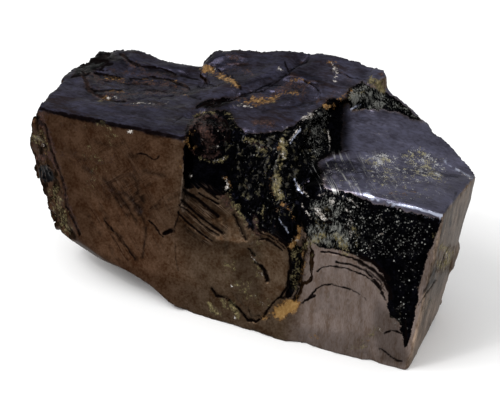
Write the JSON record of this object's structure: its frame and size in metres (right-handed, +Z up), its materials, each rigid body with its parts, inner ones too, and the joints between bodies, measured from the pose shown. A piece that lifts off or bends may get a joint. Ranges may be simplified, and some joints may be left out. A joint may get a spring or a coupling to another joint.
{
  "type": "shungite stone",
  "caption": "Rough lump of black shungite with flat glossy cleavage faces, shell-shaped flake scars, fine ribs, crumbly ends and ochre stains; rests on its flat underside",
  "frame": {"origin": "centre of the stone's bounding box in X and Y, on the surface it rests on", "axes": "+X along the length towards the low square end, +Y to the back, away from the broad front cleavage face, +Z up"},
  "size_m": [0.0996, 0.0414, 0.0487],
  "materials": {
    "shungite": "near-black with a half-metallic mirror gloss on fresh breaks, ochre and grey mineral stains in the cracks"
  },
  "bodies": {
    "root": {"shungite_stone": "shungite"}
  },
  "joints": []
}
